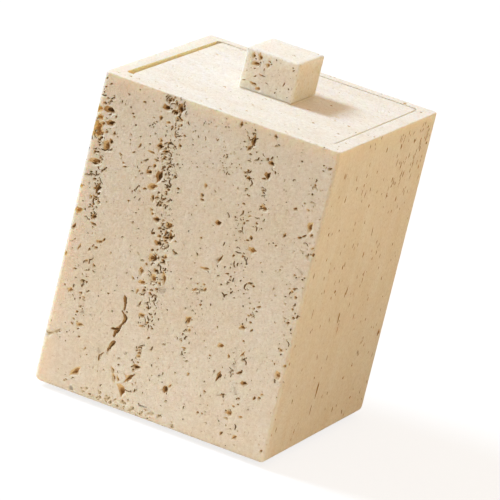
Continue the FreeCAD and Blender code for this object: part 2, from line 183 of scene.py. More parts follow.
# Pores of the right side: y, z, width, height, tilt; thin and upright, as the bedding runs
RIGHT_STREAKS = (
    (-31.5, 93.8, 0.6, 1.6), (-32.0, 87.2, 0.5, 1.0), (-25.8, 85.3, 0.6, 1.8, -14), (-33.0, 75.4, 0.7, 0.9),
    (-11.7, 90.5, 0.6, 1.1), (-12.1, 87.5, 0.7, 0.9), (-9.0, 84.0, 0.4, 2.2, -10), (-3.2, 90.3, 0.5, 0.9),
    (0.7, 96.9, 0.7, 1.3), (13.2, 96.0, 0.6, 1.7, -10), (24.5, 95.9, 0.8, 1.6, 12),
    (30.2, 95.0, 0.6, 1.9, -15), (31.5, 92.2, 0.5, 1.6, -10), (34.0, 99.0, 0.7, 0.7),
    (17.3, 88.8, 0.6, 2.0), (12.8, 85.2, 0.8, 1.3), (13.2, 82.9, 0.5, 0.8), (11.5, 79.9, 0.7, 0.6),
    (20.6, 77.3, 0.7, 1.7), (-3.0, 79.2, 0.6, 0.9), (6.2, 69.2, 0.4, 3.0, 4), (3.3, 62.0, 0.9, 1.6),
    (-12.8, 60.8, 0.7, 1.3), (-14.2, 53.0, 1.1, 1.0), (-3.5, 51.6, 0.6, 2.4, -8),
    (-29.6, 48.8, 0.4, 2.4, -5), (-4.8, 42.6, 0.9, 2.8), (-3.4, 38.4, 0.4, 2.0, 5),
    (-6.3, 29.6, 0.4, 1.7, -5), (-8.0, 19.4, 1.0, 4.4, -4), (-9.5, 13.0, 0.4, 3.0, -3),
    (-13.3, 24.4, 0.5, 0.8), (13.8, 18.8, 0.5, 0.8), (19.0, 21.7, 0.7, 0.6), (25.3, 15.2, 0.5, 3.2, -8),
    (25.0, 9.6, 0.9, 0.7), (13.8, 9.2, 0.4, 0.7), (27.2, 85.6, 0.5, 1.4), (21.5, 85.3, 0.5, 1.6),
    (34.3, 85.7, 0.7, 1.2), (36.3, 93.2, 0.9, 1.0), (-37.0, 62.6, 0.5, 1.6), (15.0, 60.4, 0.5, 1.4),
    (-38.0, 40.0, 0.4, 1.0), (36.6, 29.4, 1.2, 1.8),
)

# Main pores of the back and of the left side, which the photograph doesn't show.
BACK_PORES = (
    (-33.5, 88.0, 1.8, 2.4, 15), (-31.8, 61.5, 2.2, 1.4, -20), (-34.2, 27.0, 1.4, 2.0, 10),
    (-17.8, 95.2, 2.2, 1.6, 25), (-16.0, 74.0, 1.6, 2.6, -12), (-18.4, 52.6, 2.4, 1.8, 8),
    (-15.6, 33.8, 1.5, 2.2, -30), (-17.2, 11.4, 2.0, 1.3, 14), (-3.2, 83.6, 1.4, 2.0, 20),
    (-5.0, 45.5, 1.8, 1.2, -18), (9.6, 91.0, 2.0, 1.5, -8), (8.4, 66.2, 1.5, 2.4, 12),
    (10.2, 22.4, 2.2, 1.6, 30), (24.6, 78.8, 1.7, 2.3, -15), (23.0, 48.4, 2.3, 1.5, 18),
    (25.4, 30.6, 1.4, 2.1, -6), (34.4, 92.6, 1.6, 2.2, 10), (35.6, 57.4, 2.1, 1.4, -24),
    (33.8, 14.8, 1.5, 2.0, 16),
)
LEFT_STREAKS = (
    (-33.4, 84.2, 0.9, 2.6, 4), (-34.6, 40.8, 1.0, 2.0, -6), (-16.8, 66.4, 1.1, 3.0, 3),
    (-15.2, 22.0, 0.9, 2.2, -4), (4.6, 90.4, 1.0, 2.4, 5), (3.0, 49.6, 1.1, 3.2, -3),
    (21.8, 74.0, 0.9, 2.4, 6), (20.4, 30.2, 1.1, 2.6, -5), (33.0, 58.8, 1.0, 2.0, 2),
)

# Pores of the top: x, y, width, depth, tilt; short dashes that run along the bedding.
LID_TOP_DASHES = (
    (-30.0, 25.4, 1.1, 0.5), (-28.5, 20.0, 0.9, 0.5), (-11.5, -12.5, 0.9, 0.8), (5.8, -23.2, 1.0, 0.5),
    (3.8, -29.8, 0.8, 0.6), (-20.2, -29.4, 0.9, 0.5), (21.4, -18.3, 0.9, 0.8), (31.0, -20.9, 0.6, 0.7),
    (31.6, -24.8, 0.7, 0.5), (29.4, -8.7, 1.1, 0.7), (24.6, -8.2, 0.7, 0.5), (30.4, -33.0, 0.7, 0.6),
    (30.6, 12.1, 0.9, 0.5), (16.8, 7.0, 0.9, 0.7), (33.6, -13.0, 0.5, 0.4), (-26.0, -32.6, 1.0, 0.5),
    (-9.0, -32.4, 0.8, 0.4), (14.2, -6.0, 0.8, 0.5),
)
RIM_DASHES = (
    (-37.1, -36.4, 0.9, 0.7), (-33.0, -36.0, 0.8, 0.7), (-8.9, -36.2, 0.8, 0.4), (29.6, 37.4, 1.0, 1.3),
    (36.8, 33.8, 0.6, 0.7), (39.0, -10.8, 0.5, 0.7), (12.0, -37.0, 1.0, 0.4), (20.5, -37.6, 0.7, 0.4),
    (-22.0, -38.2, 0.8, 0.4),
)

# Pores of the knob's front: x, z, width, height, tilt.
KNOB_GOLDEN_PORES = (
    (-5.2, 111.8, 1.9, 0.9, 5), (-3.9, 114.4, 0.9, 1.9, 20), (-6.1, 114.2, 0.8, 1.5, 8),
    (-0.9, 112.7, 1.1, 1.1), (-4.4, 105.6, 1.8, 0.6, -12), (-2.4, 104.5, 1.7, 0.9, 22),
)
KNOB_FRONT_PORES = (
    (-5.3, 113.3, 0.8, 0.4, -10), (-4.8, 110.3, 0.8, 0.3, 15), (-3.4, 112.6, 0.5, 0.6),
    (-3.4, 111.6, 0.4, 0.5), (-0.4, 113.8, 0.9, 0.4, -20), (0.2, 113.2, 0.5, 0.6), (-1.7, 110.9, 0.3, 1.1),
    (-2.0, 108.9, 1.8, 0.4, -5), (-4.1, 108.0, 1.0, 0.4, 38), (0.1, 107.0, 0.9, 0.3, -15),
    (-7.2, 105.8, 1.1, 0.3, 15), (7.4, 114.3, 0.5, 0.4), (7.8, 113.6, 0.9, 0.4, 32),
    (5.7, 108.4, 0.4, 1.4, -15), (7.5, 107.5, 0.6, 0.6), (3.6, 106.2, 0.6, 0.4), (3.5, 105.0, 0.5, 0.6),
    (1.5, 115.0, 0.4, 0.6),
)
KNOB_SIDE_PORES = ((-8.0, 110.8, 0.6, 0.6), (-4.0, 108.2, 0.3, 1.2), (6.0, 113.0, 0.3, 1.4))
KNOB_TOP_PORES = ((4.2, -1.0, 1.0, 0.5), (-4.0, 6.0, 0.7, 0.4))

# Voids of a drawn outline in the front face, as (x, z) corners.
FRONT_VOIDS = (
    ((-11.5, 13.9), (-10.0, 13.2), (-9.2, 13.7), (-7.5, 14.6), (-8.6, 12.6), (-10.7, 10.4), (-10.0, 12.3)),
    ((-12.8, 9.5), (-11.2, 10.0), (-9.9, 9.3), (-9.7, 7.6), (-10.3, 6.1), (-11.4, 7.8)),
)
# Pores on the front's left edge, where light comes through, painted amber as its glow: x, z, width, height,
# tilt.
FRONT_EDGE_PORES = (
    (-38.6, 85.4, 2.6, 3.4, 20), (-38.2, 83.2, 3.4, 1.6, 24), (-39.4, 91.2, 1.2, 1.6),
    (-38.3, 88.6, 1.8, 0.9, 20), (-38.4, 58.3, 1.8, 1.4, 25), (-39.3, 66.0, 0.7, 1.0),
    (-39.2, 44.0, 0.6, 0.9, 20),
)
FRONT_LOW_SLIT = ((-38.6, 17.7, 2.6, 0.9, 14), (-36.3, 18.9, 2.4, 0.6, 34))
# The long crack: x, z and width along its course.
CRACK = (
    ((-17.0, 37.2, 0.8), (-16.4, 36.0, 0.9), (-16.1, 34.6, 0.6), (-16.0, 32.6, 0.45)),
    ((-16.6, 32.4, 0.3), (-15.8, 31.6, 0.5), (-14.9, 30.3, 1.3), (-15.3, 28.9, 0.7), (-15.9, 27.6, 0.5),
     (-16.6, 26.3, 1.3), (-17.1, 25.0, 1.0), (-17.3, 23.4, 0.5)),
    ((-18.8, 25.8, 0.3), (-17.8, 26.0, 0.8), (-16.6, 26.4, 1.0)),
    ((-16.7, 22.6, 0.6), (-17.0, 21.6, 1.1), (-17.6, 20.2, 0.9), (-18.3, 18.4, 0.4)),
    ((-19.2, 17.8, 0.25), (-20.5, 16.1, 0.35), (-20.2, 14.5, 0.3)),
)
LEFT_CRACKS = (
    ((-38.8, 69.9, 0.2), (-37.6, 70.0, 0.3), (-36.4, 70.6, 0.2), (-35.4, 70.4, 0.35), (-34.6, 71.1, 0.4)),
    ((-33.9, 72.2, 0.25), (-33.3, 72.9, 0.35), (-32.4, 74.2, 0.4)),
    ((-34.2, 70.3, 0.35), (-33.6, 69.9, 0.2), (-33.2, 69.1, 0.3), (-32.2, 68.5, 0.2)),
)

# Bands on the front: course as (x, z), half width, number of round pores and of slits, and the pores' sizes.
FRONT_BANDS = (
    (((-37, 98), (-36, 90), (-36, 80), (-35, 70), (-34, 62), (-34, 52)), 2.6, 55, 46, (0.3, 1.1)),
    (((-16.5, 102), (-13.5, 98), (-13, 92), (-13.5, 86), (-12.5, 80), (-12, 75), (-12, 68)),
     3.0, 105, 88, (0.25, 1.0)),
    (((-11, 66), (-8.5, 60), (-8, 52), (-8, 46), (-8.5, 38), (-7.5, 30)), 3.4, 85, 71, (0.25, 1.1)),
    (((-8, 26), (-8, 18), (-9, 8)), 2.4, 13, 11, (0.3, 0.8)),
    (((-20, 98), (-21, 84), (-21, 70), (-20, 60)), 2.0, 17, 14, (0.25, 0.6)),
    (((11, 101), (13, 86), (13, 78), (14, 68), (15, 55), (16, 48)), 2.4, 35, 29, (0.25, 0.8)),
    (((19, 100), (19, 88), (20, 78), (18, 67), (20, 54), (19, 46)), 1.8, 24, 20, (0.25, 0.8)),
    (((37, 97), (34, 88), (36, 77), (37, 70), (36, 56), (38, 48), (37, 36), (37, 28)),
     3.0, 35, 29, (0.25, 0.8)),
    (((6, 50), (7, 42), (5, 34), (6, 26)), 1.6, 13, 11, (0.25, 0.7)),
    (((24, 50), (24, 38), (22, 28), (24, 18), (25, 8)), 3.6, 23, 19, (0.25, 0.7)),
    (((-31, 46), (-31, 36), (-30, 26), (-30, 20)), 2.4, 18, 15, (0.25, 0.8)),
)

# Places in a stone piece's list of materials, and the darker finish painted as shade on a hole's deeper
# parts.
STONE, PORE, PAINTED_SHADE, PAINTED_RIM_GLOW, PALE, PAINTED_LIGHT, AMBER_PAINTED_GLOW, STREAK = range(8)
FLOOR_SHADE = {PORE: PAINTED_SHADE, PALE: PORE}
# Up to these sizes a pore may be painted dark throughout as shade, has few corners, or a middling number.
SHADE_PAINTED_SIZE, FINE_PORE, LARGE_PORE = 0.62, 0.75, 1.6
# The side of the squares that the flat faces are cut into.
GRID_STEP = 5.0
# The CAD nodes' own pores are no deeper than this.
DEEPEST_PORE = 2.5 * MM
# The rounded arrises of the nodes that have pores of their own: at the sides, below and above.
ARRISES = {"travertine_box": (1.35, 2.45, 0.4), "lid_knob": (0.85, 0.02, 0.82)}
# Where a hole is worn widest, and how steeply its lip falls there.
OPEN_BEARING, BEARING_SPREAD, LIP_SLOPE = math.radians(-42), 0.35, 0.85
# How far a cutter stands out of the face, and how much wider than the lip it is there.
STAND_OUT, FLARE = 0.3, 1.15
# A hole's width halfway down and at its floor, and how far both lean, as shares of its width at the top.
MIDWAY_SHARE, FLOOR_SHARE, FLOOR_LEAN = 0.58, 0.44, 0.34
# The ranges by which lips and depths vary.
LIP_RANGE, DEPTH_RANGE = (0.8, 1.2), (0.85, 1.2)
# How deep pores are for their size.
SHALLOW, DEEP, LOOSE_DEPTHS, NICK_DEPTHS = 0.5, 0.8, (0.9, 1.3), (0.3, 0.5)
LEAST_DEPTH, CRACK_DEPTH, VOID_DEPTH = 0.35, 1.2, 1.5
WIDEST_LIP, CRACK_LIP, SLIT_LIP, VOID_LIP, NICK_LIP = 0.75, 0.5, 0.48, 0.5, 0.04
# How far apart the points of a course, a crack and a slit are.
LINE_STEP, CRACK_STEP, SLIT_STEP = 0.5, 0.42, 0.32
# The higher this is, the fewer pores near the top of a range of sizes.
FEW_LARGE = 2.2
# Below this height many of the larger front pores are shallow and golden, above it few.
GOLDEN_BELOW, MANY_GOLDEN, FEW_GOLDEN = 48.0, 0.7, 0.3
# Slits lie a little further from a band's middle than pores do.
SLIT_SPREAD = 1.15
# The room between two cutters of one layer, and between the seeds of two outlines.
LAYER_GAP, NOISE_REACH = 0.03 * MM, 37.0
# Where the bands of the back, by x, and the beds of the left side, by y, run.
BACK_BANDS, LEFT_BEDS = (-33, -17, -4, 9, 24, 35), (-34, -16, 4, 21)
# What the upright pores of the right side share.
STREAK_LOOK = {"finish": PORE, "mouth": STREAK, "lip": 0.12}
# Areas without loose pores: u from and to, v from and to.
KNOB_AREA = (-9.8, 10.5, -9.8, 11.8)
SEAT_AREA = (-36.9, 35.8, -34.0, 36.6)
# The pads' distance from the middle each way, and the radius kept clear round a pad and round the pin.
PAD_PLACE, PAD_CLEAR, PIN_CLEAR = 28.0, 7.0, 4.0
# The walls of the well and of the lid's seat.
WELL_HALF, WELL_SPAN, WELL_RISE = 30.0, (-22.0, 22.0), (14.0, 94.0)
SEAT_HALF, SEAT_LEVEL, SEAT_BACK = 38.5, 94.85, 34.0
RESIN_INSET = 0.05 * MM

rng = random.Random(1126)


def lobed(width, height, tilt, count):
    """Corners round a small ragged hole, with a few cusps, as the gap between rounded lumps has."""
    turn = math.radians(tilt)
    seed = Vector([rng.uniform(0, NOISE_REACH) for _ in range(3)])
    cusps, first, bite = rng.choice((3, 4, 5)), rng.uniform(0, math.tau), rng.uniform(0.2, 0.5)
    corners = []
    for k in range(count):
        angle = math.tau * (k + rng.uniform(-0.25, 0.25)) / count
        reach = 0.6 * (1.15 - bite * abs(math.sin(0.5 * cusps * (angle - first))) ** 0.8)
        reach *= 1.0 + 0.5 * noise.noise(Vector((math.cos(angle), math.sin(angle), 0.0)) * 1.4 + seed)
        x, y = width * reach * math.cos(angle), height * reach * math.sin(angle)
        corners.append(np.array((x * math.cos(turn) - y * math.sin(turn),
                                 x * math.sin(turn) + y * math.cos(turn))))
    return corners


def from_middle(middle, spans):
    """Moves the corners of a hole along their spans from its middle, for scooped."""
    def outward(k, share, extra):
        return tuple(middle + spans[k] * (share + extra / max(0.05, float(np.hypot(*spans[k])))))
    return outward


def facings(directions):
    """How far each direction out of a hole points to its open side, from -1 to 1."""
    bearing = OPEN_BEARING + rng.gauss(0, BEARING_SPREAD)
    open_side = np.array((math.cos(bearing), math.sin(bearing)))
    return [float(np.dot(d, open_side)) / max(1e-6, float(np.hypot(*d))) for d in directions]


def scooped(outward, spans, lip, deep, steps):
    """Levels of a hole: a lip worn wide on the open side, a steep wall under it and a slope opposite.

    outward(k, share, extra) is corner k at a share of its span and moved out by extra.
    """
    facing = facings(spans)
    worn = [lip * (0.3 + 0.85 * max(0.0, f)) * rng.uniform(*LIP_RANGE) for f in facing]
    drop = [deep * (0.8 + 0.2 * f) * rng.uniform(0.8, 1.15) for f in facing]

    def ring(share, lean, extra):
        return [outward(k, share + lean * f, extra * worn[k]) for k, f in enumerate(facing)]

    levels = [
        (lambda k: -STAND_OUT, ring(1.0, 0.0, FLARE)),
        (lambda k: 0.0, ring(1.0, 0.0, 1.0)),
        (lambda k: LIP_SLOPE * worn[k], ring(1.0, 0.0, 0.0)),
    ]
    if steps > 1:
        levels.append((lambda k: LIP_SLOPE * worn[k] + 0.5 * drop[k], ring(MIDWAY_SHARE, FLOOR_LEAN, 0.0)))
    levels.append((lambda k: LIP_SLOPE * worn[k] + drop[k], ring(FLOOR_SHARE, FLOOR_LEAN, 0.0)))
    return levels


def pore(face, u, v, width, height, tilt=0.0, *, depth, finish=None, lip=None, mouth=None):
    """A ragged hole with a worn lip, scooped out towards one side; depth is a share of its size."""
    size, small = max(width, height), min(width, height)
    count = 7 if size < FINE_PORE else 10 if size < LARGE_PORE else 16
    # Unless given, small pores are mostly painted dark throughout, as shade.
    if finish is None:
        finish = PORE if size > SHADE_PAINTED_SIZE else rng.choice((PAINTED_SHADE, PAINTED_SHADE, PORE))
    deep = max(LEAST_DEPTH, depth * (small + 0.35 * (size - small)))
    if lip is None:
        lip = min(WIDEST_LIP, 0.3 + 0.25 * size) * rng.uniform(*LIP_RANGE)
    corners = lobed(width, height, tilt, count)
    steps = 2 if size > FINE_PORE else 1
    outward = from_middle(np.array((u, v)), corners)
    return prism(face, corners, scooped(outward, corners, lip, deep, steps), finish, mouth)


def spline(points, step):
    """Points about one step apart on a smooth line through the given ones, of any number of columns."""
    rows = [np.array(p, float) for p in points]
    rows = [2 * rows[0] - rows[1]] + rows + [2 * rows[-1] - rows[-2]]
    line = []
    for a, b, c, d in zip(rows, rows[1:], rows[2:], rows[3:]):
        count = max(1, round(float(np.hypot(*(c - b)[:2])) / step))
        for k in range(count):
            t = k / count
            line.append(0.5 * (2 * b + (c - a) * t + (2 * a - 5 * b + 4 * c - d) * t ** 2
                               + (3 * b - a - 3 * c + d) * t ** 3))
    line.append(rows[-2])
    return line


def prism(face, outline, levels, finish, mouth=None):
    """A solid of one outline at several depths: walls, a mouth painted pale as highlight, a floor painted as
    shade.
    """
    count = len(outline)
    bottom = FLOOR_SHADE.get(finish, finish)
    # Unless given, a hole's mouth is painted pale as the highlight on its lip, but not in plain stone or
    # amber.
    if mouth is None:
        mouth = finish if finish in (STONE, AMBER_PAINTED_GLOW) else PAINTED_LIGHT
    mesh = bmesh.new()
    rings = []
    for depth, ring in levels:
        rings.append([mesh.verts.new(face.point(u, v) - face.normal * (depth(k) * MM))
                      for k, (u, v) in enumerate(ring)])
    for level, (upper, lower) in enumerate(zip(rings, rings[1:])):
        for k in range(count):
            after = (k + 1) % count
            side = mesh.faces.new((upper[k], upper[after], lower[after], lower[k]))
            side.material_index = mouth if level < 2 else finish if level == 2 else bottom
    mesh.faces.new(list(reversed(rings[0])))
    mesh.faces.new(rings[-1]).material_index = bottom
    bmesh.ops.triangulate(mesh, faces=mesh.faces[:], quad_method="BEAUTY", ngon_method="EAR_CLIP")
    bmesh.ops.recalc_face_normals(mesh, faces=mesh.faces[:])
    mesh.verts.index_update()
    points = np.array([v.co for v in mesh.verts])
    faces = [tuple(v.index for v in f.verts) for f in mesh.faces]
    finishes = [f.material_index for f in mesh.faces]
    mesh.free()
    return points, faces, finishes


def crack(face, course, deep=CRACK_DEPTH, spacing=CRACK_STEP, finish=PORE, lip=CRACK_LIP):
    """A ragged split along a course of (u, v, width)."""
    line = spline(course, spacing)
    left, right = [], []
    for k, (u, v, width) in enumerate(line):
        before, after = line[max(0, k - 1)], line[min(len(line) - 1, k + 1)]
        heading = np.array(after[:2]) - np.array(before[:2])
        heading /= max(1e-6, float(np.hypot(*heading)))
        side = np.array((-heading[1], heading[0]))
        end = 0.35 if k in (0, len(line) - 1) else 1.0
        here = np.array((u, v)) + side * rng.uniform(-0.28, 0.28) * heading
        half = 0.5 * end * max(0.12, width)
        left.append((here, side, half * rng.uniform(0.75, 1.3)))
        right.append((here, -side, half * rng.uniform(0.75, 1.3)))
    edge = left + right[::-1]

    def outward(k, share, extra):
        here, side, half = edge[k]
        return tuple(here + side * (half * share + extra))

    return prism(face, edge, scooped(outward, [side for _, side, _ in edge], lip, deep, 1), finish)


def hook(face, u, v, length, width, turn, curl):
    """A short curved slit, such as the edge of a lump that has come loose."""
    course, across = [], math.radians(turn)
    for t in (-0.5, -0.17, 0.17, 0.5):
        heading = math.radians(turn + curl * t)
        bow = 0.5 * length * math.radians(curl) * (0.25 - t * t)
        du = length * t * math.cos(across) - bow * math.sin(across)
        dv = length * t * math.sin(across) + bow * math.cos(across)
        share = 1.0 - 1.3 * abs(t) ** 1.5 + 0.3 * math.cos(heading)
        course.append((u + du, v + dv, width * max(0.35, share)))
    # A slit is painted dark throughout, as shade.
    return crack(face, course, rng.uniform(0.5, 0.9), SLIT_STEP, PAINTED_SHADE, SLIT_LIP)


def hollow(face, outline):
    """A void of a drawn outline that narrows towards its floor."""
    line = [p for a, b in zip(outline, outline[1:] + outline[:1]) for p in spline([a, b], LINE_STEP)[:-1]]
    line = [np.array(p) + np.array((rng.uniform(-0.12, 0.12), rng.uniform(-0.12, 0.12))) for p in line]
    middle = sum(line) / len(line)
    spans = [p - middle for p in line]
    return prism(face, line, scooped(from_middle(middle, spans), spans, VOID_LIP, VOID_DEPTH, 2), PALE)


def layers(cutters):
    """Sorts cutters into layers in which no two touch."""
    order = sorted(range(len(cutters)), key=lambda k: -float(np.ptp(cutters[k][0], axis=0).max()))
    lows = np.array([cutters[k][0].min(0) - LAYER_GAP for k in order])
    highs = np.array([cutters[k][0].max(0) + LAYER_GAP for k in order])
    layer_of = np.zeros(len(order), int)
    made = []
    for k, which in enumerate(order):
        touching = np.all((lows[k] < highs[:k]) & (highs[k] > lows[:k]), axis=1)
        taken = set(layer_of[:k][touching])
        layer = 0
        while layer in taken:
            layer += 1
        layer_of[k] = layer
        if layer == len(made):
            made.append([])
        made[layer].append(cutters[which])
    return made


def shown(name, data):
    """A new object of the scene that holds the data."""
    thing = bpy.data.objects.new(name, data)
    bpy.context.scene.collection.objects.link(thing)
    return thing


def joined(name, cutters, materials):
    """One mesh object of many cutters, each with its own finish."""
    points, faces, finishes, start = [], [], [], 0
    for corner_points, corner_faces, corner_finishes in cutters:
        points.append(corner_points)
        faces.extend(tuple(start + k for k in f) for f in corner_faces)
        finishes.extend(corner_finishes)
        start += len(corner_points)
    mesh = bpy.data.meshes.new(name)
    mesh.from_pydata(np.concatenate(points).tolist(), [], faces)
    for material in materials:
        mesh.materials.append(material)
    mesh.polygons.foreach_set("material_index", finishes)
    return shown(name, mesh)


def level_pores(mesh, faces, sides, below_arris, above_arris):
    """Brings the CAD node's own plain pores up to the face, where finer ones of the same places are cut."""
    for face in faces:
        for corner in mesh.verts:
            u = corner.co.dot(face.u_axis) / MM
            v = corner.co.dot(face.v_axis) / MM
            below = face.level - corner.co.dot(face.normal)
            inside = (face.u_range[0] + sides < u < face.u_range[1] - sides
                      and face.v_range[0] + below_arris < v < face.v_range[1] - above_arris)
            if inside and below < DEEPEST_PORE:
                corner.co = face.point(u, v)


def welded_copy(node, name, materials):
    """A piece of a CAD node's shape, welded, and cut into small squares so that no face has many pores."""
    mesh = bmesh.new()
    mesh.from_mesh(frame["nodes"][node].data)
    bmesh.ops.remove_doubles(mesh, verts=mesh.verts[:], dist=1e-6)
    low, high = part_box(node)
    if node in ARRISES:
        faces = faces_of(low, high)
        level_pores(mesh, [faces[side] for side in ("front", "back", "left", "right")], *ARRISES[node])
    for axis in range(3):
        count = round((high[axis] - low[axis]) / (GRID_STEP * MM))
        normal = Vector([float(k == axis) for k in range(3)])
        for k in range(1, count):
            place = normal * (low[axis] + (high[axis] - low[axis]) * k / count)
            bmesh.ops.bisect_plane(mesh, geom=mesh.verts[:] + mesh.edges[:] + mesh.faces[:], dist=1e-7,
                                   plane_co=place, plane_no=normal)
    bmesh.ops.triangulate(mesh, faces=mesh.faces[:])
    shape = bpy.data.meshes.new(name)
    mesh.to_mesh(shape)
    mesh.free()
    for material in materials:
        shape.materials.append(material)
    shape.polygons.foreach_set("material_index", [STONE] * len(shape.polygons))
    return shown(name, shape)


def carve(piece, cutters):
    """Cuts the pores out of a piece, one layer of separate cutters after another."""
    tools = []
    for k, layer in enumerate(layers(cutters)):
        tool = joined(f"{piece.name}_tool_{k}", layer, piece.data.materials)
        cut = piece.modifiers.new(f"pores_{k}", "BOOLEAN")
        cut.operation = "DIFFERENCE"
        cut.solver = "MANIFOLD"
        cut.material_mode = "INDEX"
        cut.object = tool
        tools.append(tool)
    depsgraph = bpy.context.evaluated_depsgraph_get()
    shape = bpy.data.meshes.new_from_object(piece.evaluated_get(depsgraph))
    shape.name = piece.name
    piece.modifiers.clear()
    piece.data = shape
    for tool in tools:
        spent = tool.data
        bpy.data.objects.remove(tool)
        bpy.data.meshes.remove(spent)
    shape.shade_flat()


def size_between(low, high):
    """A random pore size: many small ones and few near the top of the range."""
    return low + (high - low) * rng.random() ** FEW_LARGE


def near(line, half_width):
    """A random place on a line, or beside it."""
    u, v = rng.choice(line)
    return u + rng.gauss(0, 0.5) * half_width, v + rng.uniform(-0.5, 0.5)


def band(face, course, half_width, count, sizes):
    """Small pores strewn along a course on a face."""
    line = spline(course, LINE_STEP)
    return [loose_pore(face, *near(line, half_width), size_between(*sizes)) for _ in range(count)]


def hooks(face, course, half_width, count, lengths, widths=(0.2, 0.38)):
    """Short curved slits strewn along a course on a face."""
    line = spline(course, LINE_STEP)
    return [hook(face, *near(line, half_width), size_between(*lengths), rng.uniform(*widths),
                 rng.uniform(0, 180), rng.choice((-1, 1)) * rng.uniform(30, 150)) for _ in range(count)]


def loose_pore(face, u, v, size, stretch=None, lean=None, **look):
    """A small pore of random shape, or nothing where it would lie past the face."""
    if not (face.u_range[0] < u < face.u_range[1] and face.v_range[0] < v < face.v_range[1]):
        return None
    stretch = rng.uniform(0.45, 1.0) if stretch is None else stretch
    lean = rng.choice((-1, 1)) * rng.uniform(0, 60) if lean is None else lean
    return pore(face, u, v, size, size * stretch, lean, depth=rng.uniform(*LOOSE_DEPTHS), **look)


def strewn(face, count, sizes, stretch=None, lean=None, clear=None, **look):
    """Small pores strewn evenly over a face; clear(u, v) says where none may be."""
    made = []
    for _ in range(count):
        u, v = rng.uniform(*face.u_range), rng.uniform(*face.v_range)
        shape = rng.uniform(*stretch) if stretch else None
        turn = rng.gauss(*lean) if lean else None
        size = size_between(*sizes)
        if not (clear and clear(u, v)):
            made.append(loose_pore(face, u, v, size, shape, turn, **look))
    return made


def placed(face, rows, depth=DEEP, **look):
    """Pores by the rows of a table."""
    return [pore(face, *row, depth=depth * rng.uniform(*DEPTH_RANGE), **look) for row in rows]


def front_pores(face, rows):
    """Pores of the front by the rows; more of the low ones are shallow and golden than of the high ones."""
    made = []
    for row in rows:
        share = MANY_GOLDEN if row[1] < GOLDEN_BELOW else FEW_GOLDEN
        golden = rng.random() < share and max(row[2:4]) > FINE_PORE
        made.append(pore(face, *row, depth=(SHALLOW if golden else DEEP) * rng.uniform(*DEPTH_RANGE),
                         finish=PALE if golden else None))
    return made


def nicks(face, start, end, count, sizes):
    """Shallow chips along an arris of a face, from one (u, v) to another."""
    made = []
    for _ in range(count):
        t = rng.random()
        u = start[0] + (end[0] - start[0]) * t + rng.uniform(-0.15, 0.15)
        v = start[1] + (end[1] - start[1]) * t + rng.uniform(-0.15, 0.15)
        size = size_between(*sizes)
        made.append(pore(face, u, v, size, size * rng.uniform(0.6, 1.6), rng.uniform(-50, 50),
                         depth=rng.uniform(*NICK_DEPTHS), finish=STONE, lip=NICK_LIP))
    return made


def within(area):
    """A test for places inside an area."""
    return lambda u, v: area[0] < u < area[1] and area[2] < v < area[3]


def near_pad(u, v):
    return math.hypot(abs(u) - PAD_PLACE, abs(v) - PAD_PLACE) < PAD_CLEAR


